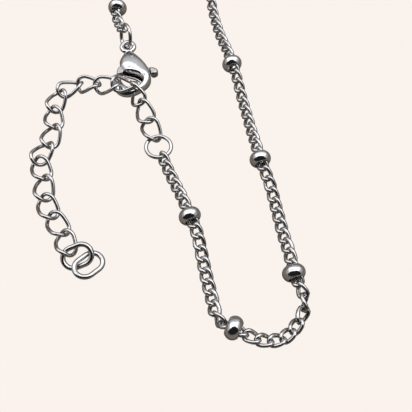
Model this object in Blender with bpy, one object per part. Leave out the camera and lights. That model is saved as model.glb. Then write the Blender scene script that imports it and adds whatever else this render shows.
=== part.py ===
"""Beaded curb chain necklace, closed by a lobster clasp and laid on a table.

Metres, +Z up, the table at z = 0. The necklace's front lies towards -Y and its neck loop towards +Y.
The main chain is one row of twisted links. The stretch behind the neck is a plain round cord of the
same width. The beads are drilled and the chain runs through them. The clasp is hooked into the third
link of the extender chain, and the rest of the extender lies free.
"""

import math

import bmesh
import bpy
import numpy as np
from mathutils import Matrix, Vector
from mathutils.geometry import delaunay_2d_cdt

MM = 0.001

# Main chain
CHAIN_WIRE = 0.58 * MM
CHAIN_LINK_WIDTH = 2.1 * MM
CHAIN_LINK_PITCH = 2.0 * MM
CHAIN_WELD = 0.1 * MM  # how far fused wires run into each other
CHAIN_LINK_SEGMENTS = 10
CHAIN_LINK_SIDES = 5
CHAIN_REST = 0.7 * MM  # height of the chain's middle where it lies flat
CHAIN_EDGE_RISE = 0.35 * MM  # how much higher it runs where it stands on its edge
CHAIN_CORD_DIAMETER = 2.0 * MM
CORD_END_GAP = 0.85 * MM  # from the middle of the bead in which it meets the last link
# Distances from a bead's middle at which the cord bends: as far as the bead holds it level, then
# where it comes to rest on the table
CORD_BENDS = (0.0, 2.0 * MM, 8.0 * MM)

# Links of both chains are twisted this much from end to end
LINK_TWIST = math.radians(90)

# Beads
BEAD_DIAMETER = 3.8 * MM
BEAD_LENGTH = 2.2 * MM
BEAD_BORE_CLEARANCE = 0.1 * MM
BEAD_SPACING = 22.3 * MM
BEAD_SIDES = 10
BEAD_LEVEL_REACH = 2.0 * MM  # length of chain that a bead holds level on each side of its middle
BEAD_LIFT_REACH = 8.0 * MM  # length of chain that a bead lifts off the table on each side
RING_LIFT_REACH = 4.0 * MM
# Shares of the bead's half length and of its radius, along half of its outline
BEAD_PROFILE = ((0.0, 1.0), (0.55, 0.92), (1.0, 0.69))

# Extender chain
EXTENDER_WIRE = 0.65 * MM
EXTENDER_LINK_LENGTH = 5.5 * MM
EXTENDER_LINK_WIDTH = 3.8 * MM
EXTENDER_LINK_SEGMENTS = 12
EXTENDER_LINK_SIDES = 5
EXTENDER_HOOK_SHARE = 0.7  # share of its wire by which the first link reaches into its ring

# Round rings, at the extender's start and in the clasp's eye
RING_WIRE = 0.7 * MM
RING_DIAMETER = 5.2 * MM
RING_SEGMENTS = 12
RING_SIDES = 6
RING_CLEARANCE = 0.1 * MM

# Oval rings at the extender's free end
END_RING_WIRE = 0.85 * MM
END_RING_LENGTH = 5.7 * MM
END_RING_WIDTH = 4.2 * MM

# The main chain's route on the table, from the extender's ring to the clasp's ring.
# Columns: kind of point, x and y in mm, and how far the chain is rolled on its side in degrees.
CHAIN_ROUTE = (
    ("bend", -6.8, 7.0, 35),
    ("bend", -5.9, 5.0, 35),
    ("bend", -4.3, 1.3, 35),
    ("bead", -2.7, -2.9, 30),
    ("bend", -1.6, -5.5, 20),
    ("bend", -0.7, -9.5, 12),
    ("bend", 0.1, -13.5, 12),
    ("bend", 1.0, -17.3, 15),
    ("bend", 1.4, -19.6, 35),
    ("bend", 2.2, -21.1, 90),
    ("bead", 4.2, -21.9, 140),
    ("bend", 6.0, -22.9, 170),
    ("bend", 7.3, -23.5, 180),
    ("bend", 9.2, -23.7, 180),
    ("bend", 11.2, -23.5, 180),
    ("bend", 12.9, -22.4, 180),
    ("bend", 14.2, -20.8, 185),
    ("bend", 15.2, -18.9, 225),
    ("bend", 15.3, -16.9, 280),
    ("bend", 14.6, -14.9, 315),
    ("bead", 13.9, -13.0, 325),
    ("bend", 13.5, -9.8, 330),
    ("bend", 12.9, -6.6, 330),
    ("bend", 12.1, -2.0, 330),
    ("bend", 11.1, 3.2, 330),
    ("bend", 10.2, 5.8, 327),
    ("bead", 9.5, 8.3, 325),
    ("bend", 8.7, 12.4, 320),
    ("bend", 7.7, 17.8, 315),
    ("bend", 6.7, 22.6, 315),
    ("bend", 5.7, 27.4, 315),
    ("bead", 5.0, 30.0, 315),
    ("bend", 4.2, 33.4, 315),
    ("bend", 2.2, 40.8, 315),
    ("bend", 1.0, 48.2, 315),
    ("bend", 1.4, 57.0, 315),
    ("bend", 5.0, 72.0, 315),
    ("bend", 12.0, 92.0, 315),
    ("bend", 16.5, 113.0, 315),
    ("bend", 14.0, 135.0, 315),
    ("bend", 0.5, 152.0, 330),
    ("bend", -20.5, 157.0, 350),
    ("bend", -39.5, 147.0, 370),
    ("bend", -48.0, 127.0, 390),
    ("bend", -46.5, 104.0, 405),
    ("bend", -38.0, 82.0, 405),
    ("bend", -27.5, 63.0, 405),
    ("bend", -20.6, 52.0, 405),
    ("bead", -18.1, 44.9, 405),
    ("bend", -18.5, 43.7, 400),
    ("bend", -18.0, 42.0, 390),
    ("bend", -17.3, 40.0, 375),
)

# The rings' places. Columns: middle in mm, heading of the long way, climb along it and roll about it
EXTENDER_RING_PLACE = (-8.5, 11.5, 0.95, 0, 0, 0)
CLASP_RING_PLACE = (-15.8, 36.45, 2.5, 113, 0, -70)

# Joints of the extender chain, from the extender ring to the end rings, in mm, and the roll of the
# link that starts at each, in degrees
EXTENDER_ROUTE = (
    (-9.1, 12.7, 0.95, 5),
    (-10.8, 17.5, 1.25, -30),
    (-12.05, 20.4, 1.55, -60),
    (-14.05, 25.05, 2.2, 0),
    (-16.6, 23.85, 3.35, -10),
    (-20.3, 24.1, 2.6, -5),
    (-24.2, 25.6, 1.25, 5),
    (-27.25, 23.85, 1.3, 0),
    (-28.55, 19.65, 0.95, 0),
    (-27.7, 16.1, 0.92, 0),
    (-28.35, 11.7, 0.92, 0),
    (-29.85, 8.8, 0.95, 0),
    (-28.15, 5.0, 0.92, 0),
    (-27.75, 1.0, 0.92, 0),
    (-26.05, -2.4, 0.92, 0),
    (-23.6, -5.65, 0.95, -5),
    (-22.35, -9.5, 1.55, 0),
)
END_RING_PLACES = (
    (-20.8, -9.9, 1.35, 18, 12, 23),
    (-18.9, -11.3, 1.1, 45, -10, 3),
)

# Lobster clasp, in its own frame: the eye's middle at its origin, the hook towards -Y, mm
CLASP_EYE_PLACE = (-15.4, 34.8)
CLASP_HEADING = 7  # degrees
CLASP_THICKNESS = 2.9 * MM
EYE_RADIUS = 1.2 * MM
EYE_WIRE = 0.9 * MM
EYE_HEIGHT = 1.35 * MM
EYE_SEGMENTS = 12
EYE_SIDES = 6
SLOT_FLOOR = 1.0 * MM
SLOT_CEILING = 1.9 * MM
LEVER_GAP = 0.12 * MM
PIVOT = (1.3, -5.2)
PIN_RADIUS = 0.42 * MM
PIN_GAP = 0.1 * MM
PIN_END_DEPTH = 0.5 * MM  # how far the pin's holes run into each cheek
HOOK_CENTRE = (0.35, -8.6)
HOOK_RADIUS = 2.75
# The head's outline, walked anticlockwise from the neck. Columns: x and y in mm, how much of the
# crown's draw-in and how much of the thickness the head has there.
HEAD_OUTLINE = (
    (-0.75, -1.35, 0.3, 0.62),
    (-1.4, -2.3, 0.7, 0.8),
    (-1.8, -3.4, 1.0, 0.95),
    (-2.0, -4.6, 1.0, 1.0),
    (-2.0, -5.5, 0.6, 1.0),
    (-1.5, -5.95, 0.2, 1.0),
    (-0.4, -6.2, 0.1, 1.0),
    (0.7, -6.6, 0.1, 1.0),
    (1.7, -7.3, 0.1, 1.0),
    (2.2, -8.3, 0.2, 1.0),
    (2.4, -9.2, 0.4, 0.93),
    (3.1, -9.6, 0.4, 0.85),
    (3.85, -9.2, 0.6, 0.93),
    (3.95, -8.2, 0.8, 1.0),
    (3.8, -7.0, 1.0, 1.0),
    (3.4, -5.6, 1.0, 1.0),
    (2.7, -4.2, 1.0, 1.0),
    (1.8, -2.8, 1.0, 0.86),
    (1.0, -1.8, 0.6, 0.7),
    (0.75, -1.35, 0.3, 0.62),
)
# How the head is crowned: shares of its thickness, and how far the outline is drawn in there, mm
HEAD_CROWN = ((0.0, 0.45), (0.1, 0.12), (0.25, 0.0), (0.7, 0.0), (0.87, 0.2), (0.96, 0.55), (1.0, 1.05))
# Sections of the hook from the head to its tip. Columns: angle round the hook's middle in degrees
# (0 is the spine, 90 the bottom, 180 the tip's side), half width, half height and middle height, mm.
HOOK_SECTIONS = (
    (0, 0.8, 1.25, 1.45),
    (25, 0.85, 1.1, 1.5),
    (55, 0.85, 0.9, 1.6),
    (90, 0.85, 0.85, 1.62),
    (120, 0.85, 0.85, 1.62),
    (150, 0.8, 0.8, 1.6),
    (172, 0.7, 0.7, 1.55),
)
HOOK_TIP = (-2.35, -7.6, 0.4, 0.5, 1.5)
HOOK_SIDES = 10
NECK_OUTLINE = ((-0.8, -1.0), (-0.9, -2.2), (0.9, -2.2), (0.8, -1.0))
SLOT_OUTLINE = (
    (-3.0, -4.2),
    (0.5, -3.6),
    (6.0, -3.9),
    (6.0, -7.9),
    (2.9, -8.2),
    (1.6, -8.0),
    (-3.0, -6.6),
)
LEVER_OUTLINE = (
    (-1.25, -5.1),
    (0.5, -4.4),
    (1.3, -4.25),
    (2.2, -4.6),
    (3.0, -5.7),
    (4.6, -6.5),
    (4.6, -7.5),
    (2.8, -7.0),
    (1.3, -6.15),
    (-0.4, -5.95),
    (-1.3, -6.4),
    (-1.5, -7.35),
    (-2.25, -7.15),
    (-2.35, -6.3),
    (-2.1, -5.75),
)
# Swollen ends of the lever: outline mm, then lower and upper height mm
GATE_OUTLINE = ((-2.4, -6.2), (-2.3, -7.2), (-1.5, -7.4), (-1.2, -6.9), (-1.25, -6.35), (-1.7, -6.15))
GATE_HEIGHTS = (0.95, 1.95)
NUB_OUTLINE = (
    (4.25, -6.35),
    (4.9, -6.6),
    (5.25, -6.95),
    (5.25, -7.35),
    (4.9, -7.65),
    (4.25, -7.5),
)
NUB_HEIGHTS = (0.85, 2.05)

STEEL = (0.56, 0.57, 0.58, 1.0)


def steel(name, roughness):
    material = bpy.data.materials.new(name)
    material.use_nodes = True
    shader = material.node_tree.nodes["Principled BSDF"]
    shader.inputs["Base Color"].default_value = STEEL
    shader.inputs["Metallic"].default_value = 1.0
    shader.inputs["Roughness"].default_value = roughness
    return material


def smooth_path(rows):
    """Samples of a smooth curve through the rows, the length at each sample and at each row."""
    rows = np.asarray(rows, float)
    ends = np.vstack([2 * rows[0] - rows[1], rows, 2 * rows[-1] - rows[-2]])
    steps = 12
    samples = []
    for a, b, c, d in zip(ends, ends[1:], ends[2:], ends[3:]):
        knots = np.cumsum([0.0] + [math.sqrt(math.dist(p[:2], q[:2])) for p, q in ((a, b), (b, c), (c, d))])
        for t in np.linspace(knots[1], knots[2], steps, endpoint=False):
            ab = (knots[1] - t) / knots[1] * a + t / knots[1] * b
            bc = ((knots[2] - t) * b + (t - knots[1]) * c) / (knots[2] - knots[1])
            cd = ((knots[3] - t) * c + (t - knots[2]) * d) / (knots[3] - knots[2])
            abc = ((knots[2] - t) * ab + t * bc) / knots[2]
            bcd = ((knots[3] - t) * bc + (t - knots[1]) * cd) / (knots[3] - knots[1])
            samples.append(((knots[2] - t) * abc + (t - knots[1]) * bcd) / (knots[2] - knots[1]))
    samples = np.array(samples + [rows[-1]])
    lengths = np.concatenate([[0.0], np.cumsum(np.linalg.norm(np.diff(samples[:, :2], axis=0), axis=1))])
    return samples, lengths, lengths[::steps]


def fade(share):
    """1 up to a share of 0, 0 from a share of 1, and a smooth fall between."""
    return math.cos(math.pi / 2 * min(max(share, 0.0), 1.0)) ** 2


def read_path(samples, lengths, at):
    return np.array([np.interp(at, lengths, column) for column in samples.T])


def link_line(length, width, wire, segments, twist):
    """The middle line of a link along X, with its plane's normal at each point."""
    reach, half = (length - wire) / 2, (width - wire) / 2
    straight, arc = reach - half, math.pi * half / 2
    points, normals = [], []
    for k in range(segments):
        side, step = divmod(k, segments // 2)
        walked = 2 * (arc + straight) * step / (segments // 2)
        if walked < arc:
            x, y = straight + half * math.cos(walked / half), half * math.sin(walked / half)
        elif walked < arc + 2 * straight:
            x, y = straight - (walked - arc), half
        else:
            angle = (walked - 2 * straight) / half
            x, y = half * math.cos(angle) - straight, half * math.sin(angle)
        if side:
            x, y = -x, -y
        turn = -twist * x / (2 * reach)
        points.append((x, y * math.cos(turn), y * math.sin(turn)))
        normals.append((0.0, -math.sin(turn), math.cos(turn)))
    return np.array(points), np.array(normals)


def closed_wire(points, normals, radius, sides):
    """Vertices and faces of a round wire swept along a closed line."""
    count = len(points)
    tangents = np.roll(points, -1, axis=0) - np.roll(points, 1, axis=0)
    tangents /= np.linalg.norm(tangents, axis=1)[:, None]
    normals = normals - (normals * tangents).sum(axis=1)[:, None] * tangents
    normals /= np.linalg.norm(normals, axis=1)[:, None]
    outward = np.cross(tangents, normals)
    turns = 2 * math.pi * (np.arange(sides) + 0.5) / sides
    rings = [points + radius * (math.cos(t) * outward + math.sin(t) * normals) for t in turns]
    vertices = np.stack(rings, axis=1).reshape(-1, 3)
    faces = []
    for i in range(count):
        for j in range(sides):
            here, there = i * sides, (i + 1) % count * sides
            k = (j + 1) % sides
            faces.append((here + j, here + k, there + k, there + j))
    return vertices, faces


def facing(centre, heading, roll):
    """A frame whose X runs along heading and whose Y lies level before it is rolled about X."""
    along = Vector(heading).normalized()
    across = Vector((0, 0, 1)).cross(along).normalized()
    upright = along.cross(across)
    turn = Matrix((along, across, upright)).transposed().to_4x4()
    return Matrix.Translation(centre) @ turn @ Matrix.Rotation(roll, 4, "X")


def placed(x, y, z, heading, climb, roll):
    turns = ((heading, "Z"), (-climb, "Y"), (roll, "X"))
    matrix = Matrix.Translation(Vector((x, y, z)) * MM)
    for degrees, axis in turns:
        matrix = matrix @ Matrix.Rotation(math.radians(degrees), 4, axis)
    return matrix


def mesh_of(name, vertices, faces):
    mesh = bpy.data.meshes.new(name)
    mesh.from_pydata([tuple(v) for v in vertices], [], faces)
    work = bmesh.new()
    work.from_mesh(mesh)
    bmesh.ops.recalc_face_normals(work, faces=work.faces)
    work.to_mesh(mesh)
    work.free()
    mesh.shade_smooth()
    mesh.set_sharp_from_angle(angle=math.radians(50))
    return mesh


def add_object(name, mesh, matrix, root, material):
    piece = bpy.data.objects.new(name, mesh)
    bpy.context.scene.collection.objects.link(piece)
    piece.parent = root
    piece.matrix_world = matrix
    if material and not mesh.materials:
        mesh.materials.append(material)
    return piece


def hide_cutter(cutter):
    cutter.hide_render = True
    cutter.display_type = "WIRE"


def boolean(piece, other, operation):
    hide_cutter(other)
    modifier = piece.modifiers.new(operation.title() + " " + other.name, "BOOLEAN")
    modifier.operation = operation
    modifier.object = other
    modifier.solver = "EXACT"


def chain_link(start, end, roll):
    """Vertices and faces of one fused link between two joints of the main chain."""
    start, end = Vector(start), Vector(end)
    length = (end - start).length + 2 * CHAIN_WIRE - CHAIN_WELD
    points, normals = link_line(length, CHAIN_LINK_WIDTH, CHAIN_WIRE, CHAIN_LINK_SEGMENTS, LINK_TWIST)
    vertices, faces = closed_wire(points, normals, CHAIN_WIRE / 2, CHAIN_LINK_SIDES)
    matrix = facing((start + end) / 2, end - start, math.radians(roll))
    return [matrix @ Vector(v) for v in vertices], faces


def fused_chain(name, joints, rolls, root, material):
    """Every other link in one mesh and the links between them in another, joined into one body."""
    pieces = []
    for first in (0, 1):
        vertices, faces = [], []
        for start, end, roll in list(zip(joints, joints[1:], rolls))[first::2]:
            more, shape = chain_link(start, end, roll)
            faces += [tuple(i + len(vertices) for i in face) for face in shape]
            vertices += more
        label = name if first == 0 else name + "_between"
        pieces.append(add_object(label, mesh_of(label, vertices, faces), Matrix(), root, material))
    boolean(pieces[0], pieces[1], "UNION")
    return pieces[0]


def bead_mesh(material):
    """A drilled bead turned about X."""
    bore = (CHAIN_LINK_WIDTH / 2 + BEAD_BORE_CLEARANCE) / math.cos(math.pi / BEAD_SIDES)
    half = BEAD_LENGTH / 2
    right = [(x * half, r * BEAD_DIAMETER / 2) for x, r in BEAD_PROFILE]
    outline = [(-x, r) for x, r in reversed(right[1:])] + right + [(half, bore), (-half, bore)]
    vertices, faces = [], []
    for k in range(BEAD_SIDES):
        turn = 2 * math.pi * k / BEAD_SIDES
        vertices += [(x, r * math.cos(turn), r * math.sin(turn)) for x, r in outline]
    size = len(outline)
    for k in range(BEAD_SIDES):
        here, there = k * size, (k + 1) % BEAD_SIDES * size
        for i in range(size):
            j = (i + 1) % size
            faces.append((here + i, here + j, there + j, there + i))
    mesh = mesh_of("bead", vertices, faces)
    mesh.materials.append(material)
    return mesh


def build_main_chain(root):
    """The chain's route, its beads, its links in front and by the clasp, and the cord between."""
    start = hooked_point(EXTENDER_RING_PLACE, CHAIN_ROUTE[0][1:3])
    finish = hooked_point(CLASP_RING_PLACE, CHAIN_ROUTE[-1][1:3])
    rows = [(start[0], start[1], CHAIN_ROUTE[0][3])]
    rows += [(x * MM, y * MM, roll) for _, x, y, roll in CHAIN_ROUTE]
    rows += [(finish[0], finish[1], CHAIN_ROUTE[-1][3])]
    samples, lengths, at_rows = smooth_path(rows)
    shown = [at_rows[i + 1] for i, row in enumerate(CHAIN_ROUTE) if row[0] == "bead"]
    hidden = round((shown[-1] - shown[-2]) / BEAD_SPACING)
    beads = shown[:-1] + list(np.linspace(shown[-2], shown[-1], hidden + 1))[1:]
    marks = [0.0] + beads + [lengths[-1]]

    def point(at):
        x, y, roll = read_path(samples, lengths, at)
        height = CHAIN_REST + CHAIN_EDGE_RISE * abs(math.sin(math.radians(roll)))
        near = min(abs(at - bead) for bead in beads)
        share = (near - BEAD_LEVEL_REACH) / (BEAD_LIFT_REACH - BEAD_LEVEL_REACH)
        height += (BEAD_DIAMETER / 2 - height) * fade(share)
        for end, ring in ((0.0, start[2]), (lengths[-1], finish[2])):
            height += (ring - height) * fade(abs(at - end) / RING_LIFT_REACH)
        return Vector((x, y, height)), roll

    joints = []
    for a, b in zip(marks, marks[1:]):
        count = max(round((b - a) / CHAIN_LINK_PITCH), 1)
        joints.append([a + (b - a) * k / count for k in range(count + 1)])
    front = sum((part[:-1] for part in joints[: len(shown)]), []) + [marks[len(shown)]]
    clasp_end = joints[-1]
    for name, stretch in (("chain_front", front), ("chain_clasp_end", clasp_end)):
        rolls = [point((a + b) / 2)[1] for a, b in zip(stretch, stretch[1:])]
        fused_chain(name, [point(at)[0] for at in stretch], rolls, root, steel(name, 0.2))
    build_cord(beads[len(shown) - 1 :], point, root)
    mesh = bead_mesh(steel("bead", 0.14))
    for number, at in enumerate(beads, 1):
        ahead, behind = point(at + BEAD_LENGTH / 4)[0], point(at - BEAD_LENGTH / 4)[0]
        add_object(f"bead_{number:02d}", mesh, facing(point(at)[0], ahead - behind, 0), root, None)


def hooked_point(ring_place, towards):
    """Where a link's joint lies when the link hooks into a ring and pulls towards a point in mm."""
    matrix = placed(*ring_place)
    local = matrix.inverted() @ (Vector((*towards, ring_place[2])) * MM)
    local.z = 0
    inside = RING_DIAMETER / 2 - RING_WIRE - RING_CLEARANCE - CHAIN_WELD / 2
    return matrix @ (local.normalized() * inside)


def build_cord(beads, point, root):
    """The stretch behind the neck, with its ends inside the beads where it meets the links."""
    marks = [beads[0] + CORD_END_GAP]
    for bead, following in zip(beads, beads[1:]):
        marks += [bead + reach for reach in CORD_BENDS] + [following - reach for reach in CORD_BENDS[:0:-1]]
    marks = marks[:1] + marks[2:] + [beads[-1] - CORD_END_GAP]
    curve = bpy.data.curves.new("chain_back", "CURVE")
    curve.dimensions = "3D"
    curve.bevel_depth = CHAIN_CORD_DIAMETER / 2
    curve.bevel_resolution = 2
    curve.use_fill_caps = True
    spline = curve.splines.new("POLY")
    spline.points.add(len(marks) - 1)
    for place, at in zip(spline.points, marks):
        x, y, height = point(at)[0]
        place.co = (x, y, max(height, CHAIN_CORD_DIAMETER / 2), 1.0)
    curve.materials.append(steel("chain_back", 0.25))
    add_object("chain_back", curve, Matrix(), root, None)


def ring_mesh(name, length, width, wire, material):
    points, normals = link_line(length, width, wire, RING_SEGMENTS, 0.0)
    mesh = mesh_of(name, *closed_wire(points, normals, wire / 2, RING_SIDES))
    mesh.materials.append(material)
    return mesh


def build_extender(root):
    """The round rings, the extender's links and its two end rings."""
    shape = ring_mesh("round_ring", RING_DIAMETER, RING_DIAMETER, RING_WIRE, steel("round_ring", 0.14))
    add_object("extender_ring", shape, placed(*EXTENDER_RING_PLACE), root, None)
    add_object("clasp_ring", shape, placed(*CLASP_RING_PLACE), root, None)
    points, normals = link_line(
        EXTENDER_LINK_LENGTH, EXTENDER_LINK_WIDTH, EXTENDER_WIRE, EXTENDER_LINK_SEGMENTS, LINK_TWIST
    )
    link = mesh_of("extender_link", *closed_wire(points, normals, EXTENDER_WIRE / 2, EXTENDER_LINK_SIDES))
    link.materials.append(steel("extender_link", 0.16))
    joints = [Vector(row[:3]) * MM for row in EXTENDER_ROUTE]
    ring_middle = Vector(EXTENDER_RING_PLACE[:3]) * MM
    inside = RING_DIAMETER / 2 - RING_WIRE - RING_CLEARANCE - EXTENDER_HOOK_SHARE * EXTENDER_WIRE
    joints[0] = ring_middle + (joints[0] - ring_middle).normalized() * inside
    rolls = [math.radians(row[3]) for row in EXTENDER_ROUTE]
    for number, (here, there, roll) in enumerate(zip(joints, joints[1:], rolls), 1):
        matrix = facing((here + there) / 2, there - here, roll)
        add_object(f"extender_link_{number:02d}", link, matrix, root, None)
    shape = ring_mesh("end_ring", END_RING_LENGTH, END_RING_WIDTH, END_RING_WIRE, steel("end_ring", 0.12))
    for number, place in enumerate(END_RING_PLACES, 1):
        add_object(f"end_ring_{number}", shape, placed(*place), root, None)


def extruded(outline, low, high):
    """Vertices and faces of a flat outline given in mm, raised between two heights in metres."""
    count = len(outline)
    vertices = [(x * MM, y * MM, z) for z in (low, high) for x, y in outline]
    faces = [tuple(range(count)), tuple(range(count, 2 * count))]
    faces += [(i, (i + 1) % count, count + (i + 1) % count, count + i) for i in range(count)]
    return vertices, faces


def head_shape():
    """The clasp's head: its outline in layers, drawn in towards the crown."""
    count = len(HEAD_OUTLINE)
    vertices, faces = [], [tuple(range(count))]
    for share, inset in HEAD_CROWN:
        for k, (x, y, drawn, height) in enumerate(HEAD_OUTLINE):
            before, after = HEAD_OUTLINE[k - 1], HEAD_OUTLINE[(k + 1) % count]
            edge = Vector((after[0] - before[0], after[1] - before[1])).normalized() * inset * drawn
            vertices.append(((x - edge.y) * MM, (y + edge.x) * MM, share * height * CLASP_THICKNESS))
    for layer in range(len(HEAD_CROWN) - 1):
        low, high = layer * count, (layer + 1) * count
        faces += [(low + i, low + (i + 1) % count, high + (i + 1) % count, high + i) for i in range(count)]
    top = (len(HEAD_CROWN) - 1) * count
    flat = [Vector(vertex[:2]) for vertex in vertices[top:]]
    triangles = delaunay_2d_cdt(flat, [], [range(count)], 1, MM * MM)[2]
    faces += [tuple(top + i for i in triangle) for triangle in triangles]
    return vertices, faces


def hook_shape():
    """The spine, bottom and point of the hook, swept through its sections and closed at both ends."""
    sections = []
    for degrees, half_width, half_height, height in HOOK_SECTIONS:
        turn = math.radians(degrees)
        out = Vector((math.cos(turn), -math.sin(turn), 0))
        middle = Vector((HOOK_CENTRE[0], HOOK_CENTRE[1], height)) + out * HOOK_RADIUS
        sections.append((middle, out, half_width, half_height))
    x, y, half_width, half_height, height = HOOK_TIP
    sections.append((Vector((x, y, height)), Vector((-1, 0.2, 0)).normalized(), half_width, half_height))
    vertices, faces = [], []
    for middle, out, half_width, half_height in sections:
        for k in range(HOOK_SIDES):
            turn = 2 * math.pi * (k + 0.5) / HOOK_SIDES
            across = out * math.cos(turn) * half_width
            upright = Vector((0, 0, math.sin(turn) * half_height))
            vertices.append((middle + across + upright) * MM)
    last = (len(sections) - 1) * HOOK_SIDES
    faces += [tuple(range(HOOK_SIDES)), tuple(range(last, last + HOOK_SIDES))]
    for i in range(len(sections) - 1):
        for j in range(HOOK_SIDES):
            k = (j + 1) % HOOK_SIDES
            low, high = i * HOOK_SIDES, (i + 1) * HOOK_SIDES
            faces.append((low + j, low + k, high + k, high + j))
    return vertices, faces


def round_pin(radius, low, high, sides=12):
    outline = [
        (PIVOT[0] + radius / MM * math.cos(t), PIVOT[1] + radius / MM * math.sin(t))
        for t in (2 * math.pi * k / sides for k in range(sides))
    ]
    return extruded(outline, low, high)


def build_clasp(root):
    """The clasp's body, its lever on the pivot, and the pin."""
    heading = Matrix.Rotation(math.radians(CLASP_HEADING), 4, "Z")
    frame = Matrix.Translation((CLASP_EYE_PLACE[0] * MM, CLASP_EYE_PLACE[1] * MM, 0)) @ heading
    metal = steel("clasp_body", 0.1)
    body = add_object("clasp_body", mesh_of("clasp_body", *head_shape()), frame, root, metal)
    hook = add_object("clasp_hook_shape", mesh_of("clasp_hook_shape", *hook_shape()), frame, root, metal)
    eye_line, flat = link_line(2 * EYE_RADIUS + EYE_WIRE, 2 * EYE_RADIUS + EYE_WIRE, EYE_WIRE, EYE_SEGMENTS, 0.0)
    eye_shape = closed_wire(eye_line + (0.0, 0.0, EYE_HEIGHT), flat, EYE_WIRE / 2, EYE_SIDES)
    eye = add_object("clasp_eye_shape", mesh_of("clasp_eye_shape", *eye_shape), frame, root, metal)
    neck_shape = extruded(NECK_OUTLINE, EYE_HEIGHT - EYE_WIRE / 2, EYE_HEIGHT + EYE_WIRE / 2)
    neck = add_object("clasp_neck_shape", mesh_of("clasp_neck_shape", *neck_shape), frame, root, metal)
    slot_shape = extruded(SLOT_OUTLINE, SLOT_FLOOR, SLOT_CEILING)
    slot = add_object("clasp_slot_cut", mesh_of("clasp_slot_cut", *slot_shape), frame, root, None)
    pin_low, pin_high = SLOT_FLOOR - PIN_END_DEPTH, SLOT_CEILING + PIN_END_DEPTH
    hole_shape = round_pin(PIN_RADIUS + PIN_GAP, pin_low, pin_high)
    hole = add_object("clasp_pin_cut", mesh_of("clasp_pin_cut", *hole_shape), frame, root, None)
    for joined in (hook, neck, eye):
        boolean(body, joined, "UNION")
    for cut in (slot, hole):
        boolean(body, cut, "DIFFERENCE")

    pivot = Matrix.Translation((PIVOT[0] * MM, PIVOT[1] * MM, 0))
    at_pivot = frame @ pivot
    metal = steel("clasp_lever", 0.12)
    plate = extruded(LEVER_OUTLINE, SLOT_FLOOR + LEVER_GAP, SLOT_CEILING - LEVER_GAP)
    lever = add_object("clasp_lever", lever_mesh("clasp_lever", plate), at_pivot, root, metal)
    gate_shape = extruded(GATE_OUTLINE, *(z * MM for z in GATE_HEIGHTS))
    nub_shape = extruded(NUB_OUTLINE, *(z * MM for z in NUB_HEIGHTS))
    gate = add_object("lever_gate_shape", lever_mesh("lever_gate_shape", gate_shape), at_pivot, root, metal)
    nub = add_object("lever_nub_shape", lever_mesh("lever_nub_shape", nub_shape), at_pivot, root, metal)
    bore = add_object("lever_bore_cut", lever_mesh("lever_bore_cut", hole_shape), at_pivot, root, None)
    for other, operation in ((gate, "UNION"), (nub, "UNION"), (bore, "DIFFERENCE")):
        boolean(lever, other, operation)
    pin_shape = round_pin(PIN_RADIUS, pin_low + PIN_GAP, pin_high - PIN_GAP)
    add_object("clasp_rivet", mesh_of("clasp_rivet", *pin_shape), frame, root, steel("clasp_rivet", 0.3))


def lever_mesh(name, shape):
    """A mesh given in the clasp's frame, moved so that its origin is on the lever's pivot."""
    vertices, faces = shape
    mesh = mesh_of(name, vertices, faces)
    mesh.transform(Matrix.Translation((-PIVOT[0] * MM, -PIVOT[1] * MM, 0)))
    return mesh


def stand_on_origin(root):
    """Moves everything so that the middle of its lowest level is at the origin."""
    bpy.context.view_layer.update()
    graph = bpy.context.evaluated_depsgraph_get()
    corners = []
    for piece in bpy.context.scene.objects:
        if piece.type == "EMPTY" or piece.hide_render:
            continue
        shape = piece.evaluated_get(graph)
        mesh = shape.to_mesh()
        points = np.empty(len(mesh.vertices) * 3, np.float32)
        mesh.vertices.foreach_get("co", points)
        world = np.array(shape.matrix_world)
        points = points.reshape(-1, 3) @ world[:3, :3].T + world[:3, 3]
        corners += [points.min(axis=0), points.max(axis=0)]
        shape.to_mesh_clear()
    low, high = np.min(corners, axis=0), np.max(corners, axis=0)
    root.location = (-(low[0] + high[0]) / 2, -(low[1] + high[1]) / 2, -low[2])
    bpy.context.view_layer.update()


def main():
    for old in list(bpy.data.objects):
        bpy.data.objects.remove(old, do_unlink=True)
    root = bpy.data.objects.new("necklace", None)
    bpy.context.scene.collection.objects.link(root)
    build_main_chain(root)
    build_extender(root)
    build_clasp(root)
    stand_on_origin(root)


main()
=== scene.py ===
"""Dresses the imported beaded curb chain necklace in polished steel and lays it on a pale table.

The chain, its beads, the extender and the clasp are modelled again, finer, where their CAD nodes are.
Lengths in the tables are millimetres. The tables' own origin is the point of the table at the middle of
the view, and TABLE_SHIFT carries it to the frame's origin.
"""

import math

import bpy
import numpy as np
from bpy.props import FloatProperty, FloatVectorProperty, IntProperty, PointerProperty
from bpy.types import Operator, Panel, PropertyGroup
from mathutils import Matrix, Vector


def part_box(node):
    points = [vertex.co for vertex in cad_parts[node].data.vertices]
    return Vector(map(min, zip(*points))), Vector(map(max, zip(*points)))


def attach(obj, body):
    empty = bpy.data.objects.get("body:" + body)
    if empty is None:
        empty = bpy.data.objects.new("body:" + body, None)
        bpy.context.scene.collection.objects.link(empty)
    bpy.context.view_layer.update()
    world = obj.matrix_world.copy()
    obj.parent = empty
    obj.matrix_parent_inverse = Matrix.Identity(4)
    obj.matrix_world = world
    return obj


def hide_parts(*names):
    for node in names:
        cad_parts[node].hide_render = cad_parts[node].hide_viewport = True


bl_info = {
    "name": "Beaded Curb Chain Necklace",
    "version": (1, 0, 0),
    "blender": (4, 5, 0),
    "location": "View3D > Sidebar > Necklace",
    "description": "Builds a steel curb chain necklace with beads, a lobster clasp and an extender",
    "category": "Object",
}

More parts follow.
